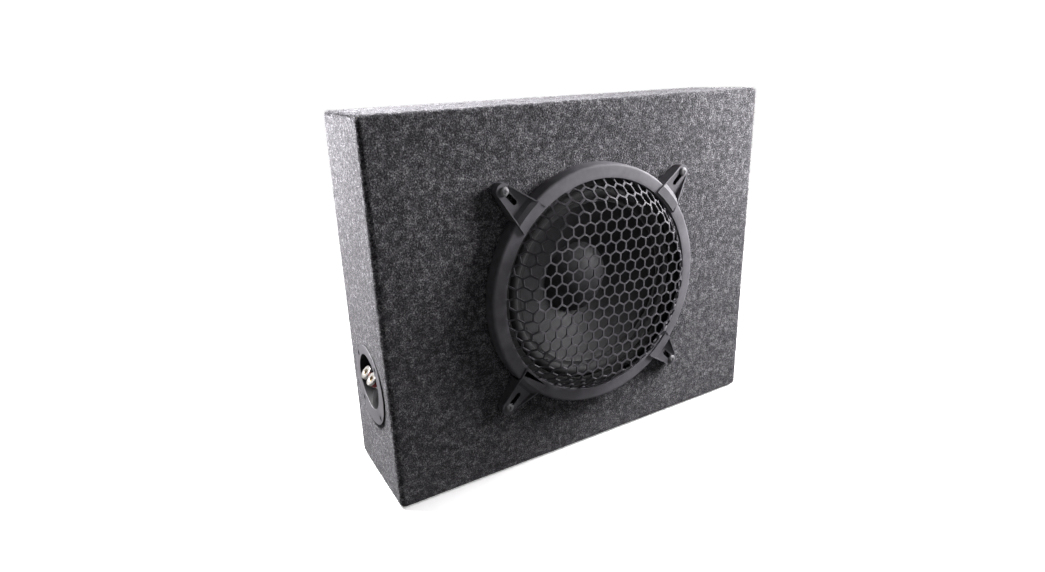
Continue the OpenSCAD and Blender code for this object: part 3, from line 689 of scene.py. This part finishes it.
def carpet_nap(count, seed):
    """Short loose fibres that stand a little out of the carpet and soften its outline.
    Each is a bent, three-sided spike: one triangle at its root, one at its middle, and a tip."""
    rng = np.random.default_rng(seed)
    root, normal = nap_roots(rng, count)
    number = len(root)
    lie = rng.normal(0, 1, (number, 3))
    lie -= normal * (lie * normal).sum(1, keepdims=True)
    lie /= np.linalg.norm(lie, axis=1, keepdims=True)
    reach = rng.uniform(1.2, 3.4, (number, 1)) * MM
    lift = (rng.random((number, 1)) ** 2.2 * 1.25 + 0.75) * MM
    side = np.cross(normal, lie)
    thick = rng.uniform(0.09, 0.15, (number, 1)) * MM
    middle = root + lie * reach * 0.45 + normal * lift
    tip = root + lie * reach + normal * lift * rng.uniform(0.35, 1.15, (number, 1)) \
        + side * reach * rng.uniform(-0.35, 0.35, (number, 1))
    rings = [centre + (side * math.cos(turn) + normal * math.sin(turn)) * thick * scale
             for centre, scale in ((root, 1.0), (middle, 0.9)) for turn in (0, TAU / 3, 2 * TAU / 3)]
    verts = np.stack(rings + [tip], axis=1)
    verts[:, :, 2] = np.maximum(verts[:, :, 2], 0.5 * MM)
    verts = leaned(verts.reshape(-1, 3))
    spike = ((0, 1, 4, 3), (1, 2, 5, 4), (2, 0, 3, 5), (3, 4, 6), (4, 5, 6), (5, 3, 6), (2, 1, 0))
    faces = [tuple(7 * i + k for k in part) for i in range(number) for part in spike]
    mesh = bpy.data.meshes.new("carpet_nap")
    mesh.from_pydata(verts.tolist(), [], faces)
    mesh.shade_smooth()
    obj = bpy.data.objects.new("carpet_nap", mesh)
    bpy.context.scene.collection.objects.link(obj)
    mesh.materials.append(MAT["carpet"])
    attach(obj, "enclosure")


wrap_carpet()
carpet_nap(18000, 11)


# ---------------------------------------------------------------- grille
RING_MM, TOP_MM = RING_R / MM, RING_H / MM
SKIN_MM = 2.2                                  # thickness of the ring's moulding at its inner edge
RING_INNER_MM = RING_MM - 16
SHEET_MM = 1.6                                 # thickness of the mesh
FLAT_MM = RING_INNER_MM - 20.7                 # radius of the mesh's flat middle
BEND_MM = 1.0                                  # from the ring's inner edge in to the mesh's foot
HEX_PITCH, HEX_STRUT = 13.75, 1.8
HEX_SHIFT = Vector((-5.7, 3.1))                # where the middle cell lies beside the ring's axis
HEX_STEPS = 4                                  # points along each side of a cell
DRAPE = 0.35                                   # 0 projects the cells on the dome, and 1 keeps their size


def make_ring():
    """The moulded ring: a flat face that rolls over a rounded crest into a nearly upright wall."""
    crest = fillet([(RING_MM, 0), (RING_MM - 0.9, TOP_MM - 0.6), (RING_INNER_MM, TOP_MM)], [0, 3.4, 0], 8)
    under = TOP_MM - SKIN_MM
    lip = fillet([(RING_INNER_MM + 4, TOP_MM - 0.05), (RING_INNER_MM, TOP_MM),
                  (RING_INNER_MM, under), (RING_INNER_MM + 11.4, under - 0.7)], [0, 0.5, 0.4, 0], 3)
    ring = lathe("grille_ring_moulded", crest[:-1] + lip + [(RING_MM - 3, 0)], GRILLE, 240, 50)
    finish_piece(ring, MAT["ring_plastic"], "enclosure", "grille_ring")


def dish_profile():
    """The dish's outer face from its middle to its rim, as close (radius, height) points in millimetres."""
    top, foot = MESH_H / MM, TOP_MM - SKIN_MM - 0.05
    corners = [(0, top), (FLAT_MM, top), (RING_INNER_MM - BEND_MM, foot), (MESH_RIM_R / MM, foot - 0.45)]
    bends = fillet(corners, [0, 9, 2.5, 0], 10)
    points = [bends[0]]
    for start, end in zip(bends, bends[1:]):
        run, rise = end[0] - start[0], end[1] - start[1]
        parts = max(1, int(math.hypot(run, rise) / 1.5))
        points += [(start[0] + run * k / parts, start[1] + rise * k / parts) for k in range(1, parts + 1)]
    return np.array(points)


def hexagon(centre, radius):
    """A cell's outline, with HEX_STEPS points along each side."""
    corners = [centre + Vector((math.cos(angle), math.sin(angle))) * radius
               for angle in (math.radians(30 + 60 * k) for k in range(6))]
    return [corners[k].lerp(corners[(k + 1) % 6], t / HEX_STEPS) for k in range(6) for t in range(HEX_STEPS)]


def trimmed(hole, centre, size, limit):
    """A hole's outline drawn back inside radius limit, or None where the limit leaves hardly any of it."""
    nearest = centre * ((centre.length - size) / max(centre.length, 1e-6))
    if nearest.length > limit - 1.2:
        return None
    if max(p.length for p in hole) <= limit:
        return hole
    reach = size * 0.86
    seed = centre.normalized() * ((max(centre.length - reach, 0) + min(limit, centre.length + reach)) / 2)
    points = []
    for p in hole:
        if p.length > limit:
            near, far = 0.0, 1.0
            for _ in range(22):
                half = (far + near) / 2
                if seed.lerp(p, half).length > limit:
                    far = half
                else:
                    near = half
            p = seed.lerp(p, near)
        points.append(p)
    return points


def honeycomb(edge, rim):
    """Flat honeycomb out to radius rim, with no hole past radius edge: its points and its faces."""
    tile, size = HEX_PITCH / math.sqrt(3), (HEX_PITCH - HEX_STRUT) / math.sqrt(3)
    index, flat, faces = {}, [], []

    def point(p):
        if p.length > rim:
            p = p * (rim / p.length)
        key = (round(p.x * 200), round(p.y * 200))
        if key not in index:
            index[key] = len(flat)
            flat.append((p.x, p.y))
        return index[key]

    rows = int(rim / (HEX_PITCH * 0.866)) + 2
    for row in range(-rows, rows + 1):
        for col in range(-rows, rows + 1):
            across = HEX_PITCH * (col + (0.5 if row % 2 else 0))
            centre = HEX_SHIFT + Vector((across, HEX_PITCH * math.sin(math.pi / 3) * row))
            if centre.length - tile > rim:
                continue
            hole = trimmed(hexagon(centre, size), centre, size, edge)
            outer = [point(p) for p in hexagon(centre, tile)]
            if hole is None:
                faces.append(outer)
                continue
            inner = [point(p) for p in hole]
            for k in range(len(outer)):
                n = (k + 1) % len(outer)
                faces.append([outer[k], outer[n], inner[n], inner[k]])
    loops = [[v for i, v in enumerate(face) if v != face[i - 1]] for face in faces]
    return np.array(flat), [loop for loop in loops if len(set(loop)) > 2]


def make_mesh():
    """The honeycomb, drawn flat and laid over the dish, where the shoulder stretches its cells a little."""
    profile = dish_profile()
    arc = np.concatenate([[0], np.cumsum(np.hypot(*np.diff(profile, axis=0).T))])
    along = profile[:, 0] + DRAPE * (arc - profile[:, 0])
    flat, faces = honeycomb(np.interp(RING_INNER_MM - 0.3, profile[:, 0], along), along[-1])
    out = np.hypot(flat[:, 0], flat[:, 1])
    radius, height = np.interp(out, along, profile[:, 0]), np.interp(out, along, profile[:, 1])
    pull = radius / np.maximum(out, 1e-9)
    verts = np.stack([flat[:, 0] * pull, flat[:, 1] * pull, height], axis=1) * MM
    obj = make_object("grille_honeycomb", verts, faces)
    bm = bmesh.new()
    bm.from_mesh(obj.data)
    bmesh.ops.dissolve_degenerate(bm, dist=0.05 * MM, edges=bm.edges)
    for face in bm.faces:
        if face.normal.z < 0:
            face.normal_flip()
    bm.to_mesh(obj.data)
    bm.free()
    solid = obj.modifiers.new("solid", "SOLIDIFY")
    solid.thickness = SHEET_MM * MM
    solid.offset = -1
    solid.use_even_offset = True
    apply_modifiers(obj)
    bevel(obj, 0.28 * MM, 50)
    obj.data.transform(GRILLE)
    finish_piece(obj, MAT["mesh_paint"], "enclosure", "grille_mesh", "mesh_shoulder")


make_ring()
make_mesh()
for corner in ("upper_right", "upper_left", "lower_left", "lower_right"):
    refine("clamp_" + corner, "clamp_moulded_" + corner, "enclosure", 0.2 * MM, 14, 16)
refine("clamp_screws", "clamp_pan_screws", "enclosure", 0.16 * MM)


# ---------------------------------------------------------------- driver
# Radii and heights in millimetres, the heights from the carpet's surface.
CONE_R, CONE_RIM, LIP = 99.0, 5.0, -2.7
NECK_R, NECK_Z, COIL_R = 26.9, -44.0, 25.9
CONE_T = 1.25
ROLL_OUT, ROLL_T, FLANGE_OUT = 112.0, 1.0, 116.95
CAP_R, CAP_RISE, CAP_T = 42.0, 21.0, 0.9


def cone_height(r):
    """Height of the cone's front face at radius r."""
    share = (CONE_R - CONE_RIM - r) / (CONE_R - CONE_RIM - NECK_R)
    return LIP - 1 + (NECK_Z - LIP + 1) * share


def make_cone():
    """The cone with its flat rim and a thin glue bead round the dust cap."""
    front = [(CONE_R, LIP), (CONE_R - CONE_RIM + 0.4, LIP - 0.15)]
    front += [(r, cone_height(r)) for r in np.linspace(CONE_R - CONE_RIM - 0.6, CAP_R + 1.6, 26)]
    bead = [(CAP_R + 0.9, cone_height(CAP_R + 0.9) + 0.35), (CAP_R + 0.2, cone_height(CAP_R) + 0.2)]
    inner = [(CAP_R - 1, cone_height(CAP_R - 1)), (NECK_R, NECK_Z), (COIL_R, NECK_Z), (COIL_R, NECK_Z - 1.2)]
    back = [(r, cone_height(r) - CONE_T) for r in np.linspace(27.4, CONE_R - CONE_RIM + 1, 14)]
    outline = front + bead + inner + back + [(CONE_R, LIP - 1.2)]
    cone = lathe("cone_pressed", outline, DRIVER, 200, 40)
    finish_piece(cone, MAT["cone_skin"], "cone_assembly", "cone")


def bow(middle, radius, angles):
    """Points of an arc round middle. The angles are in radians from straight outwards, towards the front."""
    return [(middle[0] + radius * math.cos(a), middle[1] + radius * math.sin(a)) for a in angles]


def make_cap():
    """The domed dust cap, a thin shell that stands on the cone."""
    seat = cone_height(CAP_R) + 0.2
    ball = (CAP_R ** 2 + CAP_RISE ** 2) / (2 * CAP_RISE)
    span, middle = math.asin(CAP_R / ball), seat + CAP_RISE - ball
    outer = [(ball * math.sin(span * k / 30), middle + ball * math.cos(span * k / 30)) for k in range(31)]
    inner = [((ball - CAP_T) * math.sin(span * k / 20), middle + (ball - CAP_T) * math.cos(span * k / 20))
             for k in range(20, -1, -1)]
    cap = lathe("dust_cap_dome", outer + inner, DRIVER, 160, 50)
    finish_piece(cap, MAT["cap_skin"], "cone_assembly", "dust_cap")


def make_surround():
    """The half-roll surround, whose inner lip follows the cone."""
    middle, roll = ((CONE_R + ROLL_OUT) / 2, LIP), (ROLL_OUT - CONE_R) / 2
    over = bow(middle, roll, [math.radians(a) for a in range(4, 179, 6)])
    under = bow(middle, roll - ROLL_T, [math.radians(a) for a in range(176, 2, -8)])
    top, inner = LIP + ROLL_T, CONE_R - CONE_RIM
    outline = [(inner, LIP), (CONE_R + ROLL_T, LIP)] + under
    outline += [(ROLL_OUT - ROLL_T, LIP), (FLANGE_OUT, LIP), (FLANGE_OUT, top), (ROLL_OUT + 0.4, top)]
    outline += over[2:-2] + [(CONE_R - 0.4, top), (inner, top)]
    obj = lathe("surround_roll", outline, DRIVER, 220, 50)
    stretch(obj, "surround")


def make_flexing_copy(node, name):
    """A copy of a CAD node's own shape, in the node's material."""
    mesh = frame["nodes"][node].data.copy()
    mesh.name = name
    obj = bpy.data.objects.new(name, mesh)
    bpy.context.scene.collection.objects.link(obj)
    tidy_mesh(obj)
    shade(obj, 40)
    stretch(obj, node)


def stretch(obj, node):
    """Gives a piece the material of its CAD node, bakes its place into its mesh, and hides the node."""
    obj.data.materials.clear()
    obj.data.materials.append(MAT[SLOT[node]])
    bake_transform(obj)
    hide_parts(node)


make_cone()
make_cap()
make_surround()
make_flexing_copy("spider", "spider_corrugated")
make_flexing_copy("tinsel_leads", "tinsel_braids")
refine("basket", "basket_pressed", "enclosure", 0.3 * MM)
refine("front_gasket", "gasket_segments", "enclosure", 0.35 * MM)
refine("driver_screws", "driver_pan_screws", "enclosure", 0.12 * MM)


# ---------------------------------------------------------------- terminal cup
refine("terminal_cup", "terminal_cup_moulded", "enclosure", 0.3 * MM)
refine("cup_screws", "cup_flat_screws", "enclosure", 0.08 * MM)
for colour in ("red", "black"):
    refine(colour + "_post_stud", colour + "_stud_turned", "enclosure", 0.12 * MM)
    refine(colour + "_post_washer", colour + "_washer_turned", colour + "_washer", 0.1 * MM)
    refine(colour + "_post_knob", colour + "_knob_fluted", colour + "_knob", 0.12 * MM)
    refine(colour + "_post_band", colour + "_band_moulded", colour + "_knob", 0.08 * MM)
